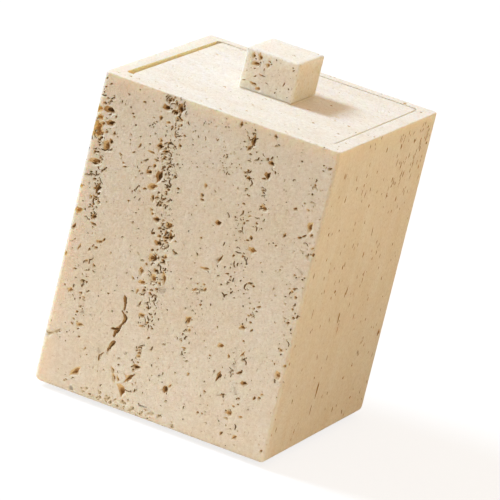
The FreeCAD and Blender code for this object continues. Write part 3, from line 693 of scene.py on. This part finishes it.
def box_cutters():
    """All the holes of the box. Their order sets the random draws."""
    faces = faces_of(BOX_LOW, BOX_HIGH)
    front, right, back, left = (faces[side] for side in ("front", "right", "back", "left"))
    made = [crack(front, course) for course in CRACK]
    # The left-edge pores are painted amber, as glow.
    made += [pore(front, *row, depth=0.7, finish=AMBER_PAINTED_GLOW) for row in FRONT_EDGE_PORES]
    # The low slit is pale throughout: painted light.
    made += [pore(front, *row, depth=SHALLOW, finish=PAINTED_LIGHT) for row in FRONT_LOW_SLIT]
    made += [hollow(front, outline) for outline in FRONT_VOIDS]
    made += front_pores(front, FRONT_PORES)
    for course, half_width, pores, slits, sizes in FRONT_BANDS:
        made += band(front, course, half_width, pores, sizes)
        made += hooks(front, course, SLIT_SPREAD * half_width, slits, (0.7, 2.2))
    # Chips at the foot, pale throughout: painted light
    made += [loose_pore(front, rng.uniform(-24, 8), rng.gauss(3.6, 1.0), rng.uniform(0.5, 1.2),
                        finish=PAINTED_LIGHT) for _ in range(46)]
    made += strewn(front, 180, (0.22, 0.5))
    made += hooks(front, ((0, 98), (0, 50), (0, 6)), 34.0, 110, (0.5, 1.3), (0.14, 0.26))
    made += band(front, ((1, 101), (1, 92), (1, 82)), 11.0, 60, (0.2, 0.45))
    made += placed(right, RIGHT_STREAKS, depth=1.0, **STREAK_LOOK)
    made += strewn(right, 150, (0.25, 0.5), stretch=(1.6, 4.5), lean=(0, 9), **STREAK_LOOK)
    # The upper back corner of the right side has more
    for _ in range(44):
        y, z = rng.uniform(10, 38.0), rng.uniform(78, 100.5)
        made.append(pore(right, y, z, rng.uniform(0.22, 0.42), rng.uniform(0.8, 2.2), rng.gauss(-18, 6),
                         depth=0.75, **STREAK_LOOK))
    for x in BACK_BANDS:
        course = [(x + rng.uniform(-2, 2), z) for z in range(4, 102, 12)]
        made += band(back, course, rng.uniform(1.8, 3.4), rng.randint(50, 110), (0.25, 1.1))
        made += [pore(back, x + rng.gauss(0, 1.6), rng.uniform(5, 98), rng.uniform(0.8, 1.6),
                      rng.uniform(0.7, 1.6), rng.uniform(-40, 40), depth=0.62)
                 for _ in range(rng.randint(6, 12))]
    made += placed(back, BACK_PORES)
    made += placed(left, LEFT_STREAKS)
    made += strewn(back, 200, (0.22, 0.7))
    made += strewn(left, 170, (0.22, 0.6), stretch=(1.2, 3.8), lean=(0, 9))
    for y in LEFT_BEDS:
        made += [pore(left, y + rng.gauss(0, 1.2), rng.uniform(6, 98), rng.uniform(0.4, 0.8),
                      rng.uniform(0.9, 2.2), rng.gauss(0, 8), depth=0.8)
                 for _ in range(rng.randint(5, 9))]
    made += placed(faces["top"], RIM_DASHES)
    made += strewn(faces["top"], 150, (0.25, 0.7), stretch=(0.4, 0.9), lean=(0, 10), clear=within(SEAT_AREA))
    made += strewn(faces["bottom"], 150, (0.3, 1.1), stretch=(0.4, 0.9), lean=(0, 10), clear=near_pad)
    for wall in well_faces():
        made += strewn(wall, 60, (0.3, 1.2), stretch=(0.8, 2.6), lean=(0, 12))
    # Worn spots along the arrises
    (x_low, x_high), (z_low, z_high), (y_low, y_high) = front.u_range, front.v_range, right.u_range
    for face, start, end, count, sizes in (
            (front, (x_low, z_low), (x_low, z_high), 46, (0.3, 1.0)),
            (front, (x_high - 0.5, z_low), (x_high - 0.5, z_high), 70, (0.25, 0.7)),
            (front, (x_low, z_high), (x_high, z_high), 26, (0.25, 0.6)),
            (right, (y_low, z_high), (y_high, z_high), 22, (0.25, 0.55)),
            (right, (y_high, z_low), (y_high, z_high), 26, (0.25, 0.6)),
            (front, (x_low, z_low + 1.2), (x_high, z_low + 1.2), 20, (0.3, 0.7)),
            (left, (y_low, z_high), (y_high, z_high), 22, (0.25, 0.6)),
            (back, (x_low, z_high), (x_high, z_high), 22, (0.25, 0.6)),
            (back, (x_low, z_low), (x_low, z_high), 30, (0.25, 0.8))):
        made += nicks(face, start, end, count, sizes)
    # These cracks are painted dark throughout, as shade.
    made += [crack(front, course, finish=PAINTED_SHADE) for course in LEFT_CRACKS]
    return made


def well_faces():
    """The four walls inside the well."""
    along_x, along_y, up = (1, 0, 0), (0, 1, 0), (0, 0, 1)
    return [StoneFace(normal, along, up, -WELL_HALF * MM, WELL_SPAN, WELL_RISE)
            for normal, along in (((0, 1, 0), along_x), ((0, -1, 0), along_x),
                                  ((1, 0, 0), along_y), ((-1, 0, 0), along_y))]


def lid_cutters():
    """All the holes of the lid plate."""
    faces = faces_of(LID_LOW, LID_HIGH)
    made = placed(faces["top"], LID_TOP_DASHES)
    made += strewn(faces["top"], 130, (0.25, 0.75), stretch=(0.35, 0.9), lean=(0, 10),
                   clear=within(KNOB_AREA))
    made += strewn(faces["bottom"], 120, (0.3, 1.0), stretch=(0.35, 0.9), lean=(0, 10),
                   clear=lambda u, v: math.hypot(u, v) < PIN_CLEAR)
    for side in ("front", "back", "left", "right"):
        made += strewn(faces[side], 16, (0.3, 0.9))
    return made


def knob_cutters():
    """All the holes of the knob."""
    faces = faces_of(KNOB_LOW, KNOB_HIGH)
    made = placed(faces["front"], KNOB_GOLDEN_PORES, depth=SHALLOW, finish=PALE)
    made += placed(faces["front"], KNOB_FRONT_PORES, depth=0.6, lip=0.15)
    made += strewn(faces["front"], 18, (0.15, 0.35), lip=0.1)
    made += placed(faces["right"], KNOB_SIDE_PORES)
    made += placed(faces["top"], KNOB_TOP_PORES)
    for side in ("right", "left"):
        made += strewn(faces[side], 16, (0.2, 0.45), stretch=(1.5, 3.5), lean=(0, 8))
    made += strewn(faces["top"], 14, (0.2, 0.5), stretch=(0.35, 0.8), lean=(0, 8))
    made += strewn(faces["back"], 46, (0.25, 1.0))
    (x_low, x_high), (z_low, z_high) = faces["front"].u_range, faces["front"].v_range
    for start, end, count, sizes in (
            ((x_low, z_low), (x_low, z_high), 9, (0.3, 0.8)),
            ((x_high, z_low), (x_high, z_high), 8, (0.3, 0.7)),
            ((x_low, z_high), (x_high, z_high), 8, (0.3, 0.6))):
        made += nicks(faces["front"], start, end, count, sizes)
    return made


def colour(red, green, blue):
    """A shader colour from display values of 0 to 255."""
    def linear(value):
        value /= 255.0
        return value / 12.92 if value <= 0.04045 else ((value + 0.055) / 1.055) ** 2.4
    return (linear(red), linear(green), linear(blue), 1.0)


class Nodes:
    """A node tree under construction."""

    def __init__(self, tree):
        self.tree = tree
        tree.nodes.clear()

    def put(self, socket, value):
        """Links an output to a socket, or sets a plain value on it."""
        if isinstance(value, bpy.types.NodeSocket):
            self.tree.links.new(value, socket)
        else:
            socket.default_value = value

    def add(self, kind, inputs=None, **settings):
        """A new node with its settings made and its inputs filled."""
        node = self.tree.nodes.new(kind)
        for name, value in settings.items():
            setattr(node, name, value)
        for name, value in (inputs or {}).items():
            self.put(node.inputs[name], value)
        return node

    def parts(self, vector):
        """The X, Y and Z of a vector."""
        return self.add("ShaderNodeSeparateXYZ", {0: vector}).outputs

    def spread(self, value, low, high, out_low=0.0, out_high=1.0, **settings):
        """Rescales a value from one range to another, held at the ends."""
        ends = {"From Min": low, "From Max": high, "To Min": out_low, "To Max": out_high}
        return self.add("ShaderNodeMapRange", {"Value": value, **ends}, **settings).outputs["Result"]

    def fade(self, value, low, high):
        """Goes softly from 0 at low to 1 at high."""
        return self.spread(value, low, high, interpolation_type="SMOOTHSTEP")

    def mix(self, share, first, second):
        """A colour between two others."""
        return self.add("ShaderNodeMix", {"Factor": share, 6: first, 7: second}, data_type="RGBA").outputs[2]

    def maths(self, operation, first, second=0.0):
        """One step of arithmetic."""
        return self.add("ShaderNodeMath", {0: first, 1: second}, operation=operation).outputs[0]

    def show(self, kind, lighting, seen):
        """Ends the tree: what lights the object, and what rays that show the background see instead."""
        path = self.add("ShaderNodeLightPath").outputs
        mirrored = self.maths("MAXIMUM", path["Is Camera Ray"], path["Is Glossy Ray"])
        direct = self.maths("MAXIMUM", mirrored, path["Is Transmission Ray"])
        choice = self.add("ShaderNodeMixShader", {"Fac": direct, 1: lighting.outputs[0], 2: seen.outputs[0]})
        self.add(kind, {"Surface": choice.outputs[0]})


class Recipe(Nodes):
    """A material under construction."""

    def __init__(self, name):
        self.material = bpy.data.materials.new(name)
        self.material.use_nodes = True
        super().__init__(self.material.node_tree)
        self.shader = self.add("ShaderNodeBsdfPrincipled")
        self.add("ShaderNodeOutputMaterial", {"Surface": self.shader.outputs["BSDF"]})
        self.place = self.add("ShaderNodeTexCoord").outputs["Object"]

    def noise(self, size, detail, rough=0.5, stretch=(1.0, 1.0, 1.0), shift=0.0):
        """Noise whose lumps are about size millimetres across, longer along an axis stretched over 1."""
        place = self.add("ShaderNodeMapping", {
            "Vector": self.place, "Location": (shift, shift * 0.7, shift * 1.3),
            "Scale": tuple(1.0 / (size * MM * s) for s in stretch)}).outputs["Vector"]
        return self.add("ShaderNodeTexNoise", {"Vector": place, "Scale": 1.0, "Detail": detail,
                                               "Roughness": rough}).outputs["Fac"]

    def turned(self, axis):
        """How far the surface faces along an axis, from 0 to 1."""
        normal = self.add("ShaderNodeNewGeometry").outputs["True Normal"]
        return self.maths("ABSOLUTE", self.parts(normal)[axis])

    def arris_highlight(self, half, width, fade_low, fade_high):
        """How much highlight is painted on the upright arrises, on front and back: 0 at width from them and
        above fade_high.
        """
        place = self.parts(self.place)
        nearer = self.maths("MINIMUM", self.maths("ABSOLUTE", place["X"]), self.maths("ABSOLUTE", place["Y"]))
        near_arris = self.spread(nearer, (half - width) * MM, half * MM)
        highlight_breakup = self.spread(self.noise(5.0, 3, 0.6, (1, 1, 3)), 0.35, 0.6, 0.5, 1.0)
        height = self.spread(place["Z"], fade_low * MM, fade_high * MM, 1.0, 0.0)
        lengthwise = self.spread(self.turned("Y"), 0.35, 0.7)
        return self.maths("MULTIPLY", self.maths("MULTIPLY", near_arris, highlight_breakup),
                          self.maths("MULTIPLY", height, lengthwise))

    def edge_glow_mask(self, low_x, high_z, reach):
        """Where glow is painted: 1 along the top and left edges, on the faces that turn away from them, to 0
        past the reach.
        """
        place = self.parts(self.place)
        below = self.spread(place["Z"], high_z - reach, high_z)
        beside = self.spread(place["X"], low_x + reach, low_x)
        upright = self.spread(self.turned("Z"), 0.5, 0.8, 1.0, 0.0)
        lengthwise = self.spread(self.turned("X"), 0.5, 0.8, 1.0, 0.0)
        return self.maths("MAXIMUM", self.maths("MULTIPLY", below, upright),
                          self.maths("MULTIPLY", beside, lengthwise))

    def bump(self, height, strength, distance):
        return self.add("ShaderNodeBump", {"Height": height, "Strength": strength,
                                           "Distance": distance * MM}).outputs["Normal"]

    def finish(self, **sockets):
        """Fills the shader's inputs and gives the material."""
        for name, value in sockets.items():
            self.put(self.shader.inputs[name.replace("_", " ")], value)
        return self.material


def glowing(weight, radius, reach):
    """Settings for light that spreads inside the stone, as far as a reach in millimetres."""
    return {"Subsurface_Weight": weight, "Subsurface_Radius": radius, "Subsurface_Scale": reach * MM}


NO_GLOW = {"Subsurface_Weight": 0.0}
GLOW = glowing(0.3, (1.0, 0.6, 0.25), 2.6)
EDGE_GLOW = glowing(0.55, (1.0, 0.5, 0.3), 6.0)
WALL_GLOW = glowing(0.1, (1.0, 0.56, 0.24), 3.0)
KNOB_GLOW = glowing(0.85, (1.0, 0.8, 0.62), 4.0)
AMBER_GLOW = glowing(0.5, (1.0, 0.75, 0.45), 3.0)
# The thin rim round the lid lets light through, so its inner side glows.
RIM_GLOW = glowing(1.0, (1.0, 0.75, 0.4), 7.0)
# The box's half width, how far the painted arris highlight reaches and the heights between which it fades
# out.
ARRIS_HIGHLIGHT = (40.0, 1.5, 62.0, 84.0)
# Where glow is painted along the box's left and top edges: its left side, its top and the reach.
LIT_EDGES = (BOX_LOW.x, BOX_HIGH.z, 7.0 * MM)
STONE_IOR = 1.46
# A face whose normal rises or falls less than this is upright.
UPRIGHT = 0.5


def stone_material(name, pale, warm, shift, glow=GLOW, arris_light=None, edge=None):
    """Honed travertine: cloudy cream with faint beds, a fine grain and rusty specks, and any painted light on
    its edges.
    """
    recipe = Recipe(name)
    cloud = recipe.spread(recipe.noise(17, 4, 0.6, (1, 0.6, 1.6), shift), 0.36, 0.64)
    tone = recipe.mix(cloud, warm, pale)
    beds = recipe.spread(recipe.noise(2.4, 3, 0.6, (14, 1, 14), shift + 3), 0.45, 0.7, 0.0, 0.12)
    tone = recipe.mix(beds, tone, colour(226, 202, 166))
    strings = recipe.spread(recipe.noise(4.0, 4, 0.65, (1, 2, 7), shift + 6), 0.55, 0.72, 0.0, 0.14)
    tone = recipe.mix(strings, tone, colour(222, 198, 162))
    grain = recipe.spread(recipe.noise(0.9, 3, 0.75, shift=shift), 0.32, 0.68, 0.0, 1.0)
    tone = recipe.mix(0.2, tone, recipe.mix(grain, colour(160, 136, 104), colour(255, 254, 250)))
    specks = recipe.spread(recipe.noise(0.8, 1, 0.5, shift=shift + 9), 0.68, 0.76, 0.0, 0.5)
    tone = recipe.mix(specks, tone, colour(176, 142, 100))
    # Painted highlight: the upright arrises paler, as where light catches them.
    if arris_light is not None:
        tone = recipe.mix(recipe.arris_highlight(*arris_light), tone, colour(255, 250, 238))
    sockets = dict(glow)
    if edge is not None:
        edge_light = recipe.edge_glow_mask(*edge)
        # Painted glow: paler, warmer stone near the top and left edges, as light through them gives; real
        # subsurface light too.
        tone = recipe.mix(recipe.maths("MULTIPLY", edge_light, 0.4), tone, colour(255, 236, 214))
        for key in ("Subsurface_Weight", "Subsurface_Scale"):
            sockets[key] = recipe.spread(edge_light, 0.0, 0.7, GLOW[key], EDGE_GLOW[key])
        sockets["Subsurface_Radius"] = EDGE_GLOW["Subsurface_Radius"]
    rough = recipe.spread(recipe.noise(1.6, 3, 0.6, shift=shift), 0.3, 0.7, 0.5, 0.72)
    height = recipe.mix(0.4, recipe.noise(0.7, 3, 0.75, shift=shift), recipe.noise(1.5, 3, 0.6, shift=shift))
    normal = recipe.bump(height, 1.0, 0.75)
    return recipe.finish(Base_Color=tone, Roughness=rough, Normal=normal, IOR=STONE_IOR,
                         Specular_IOR_Level=0.35, **sockets)


def pore_material(name, deep, light, shift):
    """The raw walls inside the pores: rougher and rustier than the honed face."""
    recipe = Recipe(name)
    patch = recipe.spread(recipe.noise(1.8, 4, 0.65, shift=shift), 0.34, 0.66)
    tone = recipe.mix(patch, deep, light)
    crumbs = recipe.spread(recipe.noise(0.3, 2, 0.6, shift=shift), 0.35, 0.7, 0.0, 0.35)
    tone = recipe.mix(crumbs, tone, colour(232, 206, 160))
    normal = recipe.bump(recipe.noise(0.4, 4, 0.7, shift=shift), 0.7, 0.16)
    return recipe.finish(Base_Color=tone, Roughness=0.9, Normal=normal, IOR=STONE_IOR,
                         Specular_IOR_Level=0.08, **WALL_GLOW)


def plain_material(name, dark, light, size, rough, **sockets):
    """A quiet finish with a little unevenness, for the small fittings."""
    recipe = Recipe(name)
    tone = recipe.mix(recipe.spread(recipe.noise(size, 3, 0.6), 0.35, 0.65), dark, light)
    gloss = recipe.spread(recipe.noise(size * 0.6, 2), 0.3, 0.7, rough - 0.08, rough + 0.08)
    normal = recipe.bump(recipe.noise(size * 0.3, 3), 0.3, 0.05)
    return recipe.finish(Base_Color=tone, Roughness=gloss, Normal=normal, **sockets)


def paint_seat_light(piece):
    """Paints light on the walls of the lid's seat: a golden glow on most, and the back wall palest."""
    for face in piece.data.polygons:
        middle = face.center / MM
        inner = abs(middle.x) < SEAT_HALF and abs(middle.y) < SEAT_HALF
        if inner and middle.z > SEAT_LEVEL and abs(face.normal.z) < UPRIGHT:
            face.material_index = PAINTED_LIGHT if middle.y > SEAT_BACK else PAINTED_RIM_GLOW


def paint_lid_side_light(piece):
    """Paints light on the upright faces of the lid plate, seen in its gaps: the palest stone, so the gaps
    show lighter.
    """
    for face in piece.data.polygons:
        if abs(face.normal.z) < UPRIGHT:
            face.material_index = PAINTED_LIGHT


def flush(piece, reach):
    """Moves a piece's front and left faces outwards, so that the resin lies flush with the knob there."""
    low = [min(corner.co[axis] for corner in piece.data.vertices) for axis in range(2)]
    for corner in piece.data.vertices:
        for axis in range(2):
            if corner.co[axis] < low[axis] + 2 * reach:
                corner.co[axis] -= reach


def dress(node, material):
    """Gives a CAD node that stays in view its finish."""
    slots = frame["nodes"][node].data.materials
    slots.clear()
    slots.append(material)


CREAM = (colour(253, 246, 234), colour(248, 237, 219))
KNOB_CREAM = (colour(255, 249, 238), colour(255, 243, 224))
walls = (
    pore_material("pore_wall", colour(164, 122, 76), colour(222, 186, 138), 0.0),
    # Painted shade: the dark walls of small pores, slits and hole floors.
    pore_material("fine_pore_painted_shade", colour(96, 66, 36), colour(150, 112, 68), 5.0),
    # Painted glow: golden stone for the seat walls, with real subsurface light as well.
    stone_material("rim_travertine_painted_glow", colour(250, 226, 176), colour(242, 208, 146), 0.0, RIM_GLOW),
    pore_material("crack_wall", colour(226, 192, 140), colour(248, 228, 188), 9.0),
    # Painted light: the palest stone, a highlight on the lips of holes and light in the lid's gaps.
    stone_material("pore_mouth_painted_light", colour(255, 247, 228), colour(255, 243, 218), 13.0, NO_GLOW),
    # Painted glow: amber stone for the left-edge pores, with real subsurface light as well.
    stone_material("amber_travertine_painted_glow", colour(242, 212, 152), colour(228, 186, 112), 3.0, AMBER_GLOW),
    pore_material("streak_wall", colour(150, 112, 62), colour(196, 156, 104), 15.0),
)
box_look = (stone_material("honed_travertine", *CREAM, 0.0, arris_light=ARRIS_HIGHLIGHT, edge=LIT_EDGES), *walls)
lid_look = (stone_material("honed_travertine_lid", *CREAM, 21.0), *walls)
knob_look = (stone_material("honed_travertine_knob", *KNOB_CREAM, 43.0, KNOB_GLOW), *walls)

for node, name, body, slot, look, cutters in (
        ("travertine_box", "box_stone", "box", "box_stone", box_look, box_cutters),
        ("lid_plate", "lid_stone", "lid", "lid_stone", lid_look, lid_cutters),
        ("lid_knob", "knob_stone", "lid", "knob_stone", knob_look, knob_cutters)):
    piece = welded_copy(node, name, look)
    if node == "travertine_box":
        paint_seat_light(piece)
    if node == "lid_plate":
        paint_lid_side_light(piece)
    carve(piece, [cutter for cutter in cutters() if cutter])
    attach(piece, body)
    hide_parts(node)
    print(name, len(piece.data.polygons), "faces")

resin = plain_material("set_resin", colour(255, 244, 226), colour(255, 250, 238), 1.6, 0.4)
bed = welded_copy("knob_resin_bed", "resin_bed", (resin,))
flush(bed, RESIN_INSET)
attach(bed, "lid")
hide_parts("knob_resin_bed")
steel = plain_material("pin_steel", colour(150, 150, 150), colour(188, 188, 188), 0.8, 0.35, Metallic=1.0)
dress("knob_pin", steel)
silicone = plain_material("pad_silicone", colour(176, 174, 168), colour(206, 204, 198), 1.2, 0.5)
for corner in ("front_left", "front_right", "back_left", "back_right"):
    dress(f"foot_pad_{corner}", silicone)

# Floor, background and light. The camera sees a white ground that keeps a soft shadow.
WHITE = (1, 1, 1, 1)
FLOOR_HALF, FLOOR_CENTRE = 3.0, (-0.07, -0.08, 0.0)
NEAR_FLOOR, FAR_FLOOR, RIGHT_FLOOR = (0.95, 0.85, 0.71, 1), (0.10, 0.09, 0.08, 1), (1.0, 0.85, 0.6, 1)
FLOOR_FADE, RIGHT_FADE = (0.09, 0.26), (0.08, 0.16)
SEEN_FLOOR, FLOOR_LIFT = (0.24, 0.24, 0.24, 1), 0.8
# Levels are what a white surface that faces the light would show.
HIGH_LIGHT, LOW_LIGHT, RIGHT_LIGHT = (0.70, 0.55, 0.43, 1.0), (0.73, 0.56, 0.37, 1.0), (0.36, 0.26, 0.13, 1.0)
HIGH_SKY, RIGHT_SKY = (0.3, 0.95), (-0.3, 0.7)
LAMP_DISTANCE, LAMP_AIM = 1.5, (0.0, 0.0, 0.06)
# Azimuth, elevation, level, width and tint.
KEY = (-80, 44, 1.09, 0.45, (0.60, 0.79, 1.0))
FILL = (105, 14, 0.16, 0.9, (1.0, 0.72, 0.34))
# The camera of the photograph: to the right of the front, a little above, and rolled to its left.
CAMERA_AIM = (4.21, 1.41, 51.64)
CAMERA_DISTANCE, CAMERA_LENS, SENSOR_WIDTH, CLIP_START, CLIP_END = 1625.1, 376.1, 36.0, 0.05, 20.0
CAMERA_AZIMUTH, CAMERA_ELEVATION, CAMERA_ROLL = 19.904, 16.364, -13.839


def floor():
    """The ground: coloured as bounced light has it, and plain white where it is seen."""
    mesh = bpy.data.meshes.new("floor")
    h = FLOOR_HALF
    mesh.from_pydata([(-h, -h, 0), (h, -h, 0), (h, h, 0), (-h, h, 0)], [], [(0, 1, 2, 3)])
    material = bpy.data.materials.new("floor_white")
    material.use_nodes = True
    nodes = Nodes(material.node_tree)
    place = nodes.add("ShaderNodeTexCoord").outputs["Object"]
    away = nodes.add("ShaderNodeVectorMath", {0: place, 1: FLOOR_CENTRE}, operation="DISTANCE")
    tone = nodes.mix(nodes.fade(away.outputs["Value"], *FLOOR_FADE), NEAR_FLOOR, FAR_FLOOR)
    tone = nodes.mix(nodes.fade(nodes.parts(place)["X"], *RIGHT_FADE), tone, RIGHT_FLOOR)
    matt = nodes.add("ShaderNodeBsdfDiffuse", {"Color": tone})
    bright = nodes.add("ShaderNodeBsdfDiffuse", {"Color": SEEN_FLOOR})
    lift = nodes.add("ShaderNodeEmission", {"Color": WHITE, "Strength": FLOOR_LIFT})
    both = nodes.add("ShaderNodeAddShader", {0: bright.outputs[0], 1: lift.outputs[0]})
    nodes.show("ShaderNodeOutputMaterial", matt, both)
    mesh.materials.append(material)
    shown("floor", mesh)


def world():
    """Soft light from all round: pale overhead, dimmer and warmer near the ground and to the right."""
    sky = bpy.data.worlds.new("studio")
    bpy.context.scene.world = sky
    sky.use_nodes = True
    nodes = Nodes(sky.node_tree)
    way = nodes.parts(nodes.add("ShaderNodeTexCoord").outputs["Generated"])
    ground = nodes.mix(nodes.fade(way["X"], *RIGHT_SKY), LOW_LIGHT, RIGHT_LIGHT)
    tone = nodes.mix(nodes.fade(way["Z"], *HIGH_SKY), ground, HIGH_LIGHT)
    soft = nodes.add("ShaderNodeBackground", {"Color": tone})
    white = nodes.add("ShaderNodeBackground", {"Color": WHITE})
    nodes.show("ShaderNodeOutputWorld", soft, white)


def toward(azimuth, elevation):
    """Unit vector towards a place round the object; azimuth 0 is the front and 90 the right."""
    a, e = math.radians(azimuth), math.radians(elevation)
    return Vector((math.sin(a) * math.cos(e), -math.cos(a) * math.cos(e), math.sin(e)))


def lamp(name, azimuth, elevation, level, width, tint):
    """A round soft lamp that gives a white surface facing it this level."""
    light = bpy.data.lights.new(name, "AREA")
    light.shape = "DISK"
    light.size = width
    light.energy = math.pi ** 2 * LAMP_DISTANCE ** 2 * level
    light.color = tint
    holder = shown(name, light)
    back = toward(azimuth, elevation)
    holder.location = Vector(LAMP_AIM) + back * LAMP_DISTANCE
    holder.rotation_mode = "QUATERNION"
    holder.rotation_quaternion = (-back).to_track_quat("-Z", "Y")


def camera():
    """The camera of the photograph, its picture turned by the roll."""
    view = bpy.data.cameras.new("camera")
    view.sensor_width = SENSOR_WIDTH
    view.lens = CAMERA_LENS
    view.clip_start, view.clip_end = CLIP_START, CLIP_END
    holder = shown("camera", view)
    back = toward(CAMERA_AZIMUTH, CAMERA_ELEVATION)
    level_right = (-back).cross(Vector((0, 0, 1))).normalized()
    level_up = level_right.cross(-back)
    roll = math.radians(CAMERA_ROLL)
    up = level_up * math.cos(roll) + level_right * math.sin(roll)
    right = (-back).cross(up)
    turn = Matrix((right, up, back)).transposed()
    place = Vector(CAMERA_AIM) * MM + back * (CAMERA_DISTANCE * MM)
    holder.matrix_world = Matrix.Translation(place) @ turn.to_4x4()
    bpy.context.scene.camera = holder


floor()
world()
lamp("key", *KEY)
lamp("warm_fill", *FILL)
camera()
bpy.context.scene.view_settings.view_transform = "Standard"

bpy.context.view_layer.update()
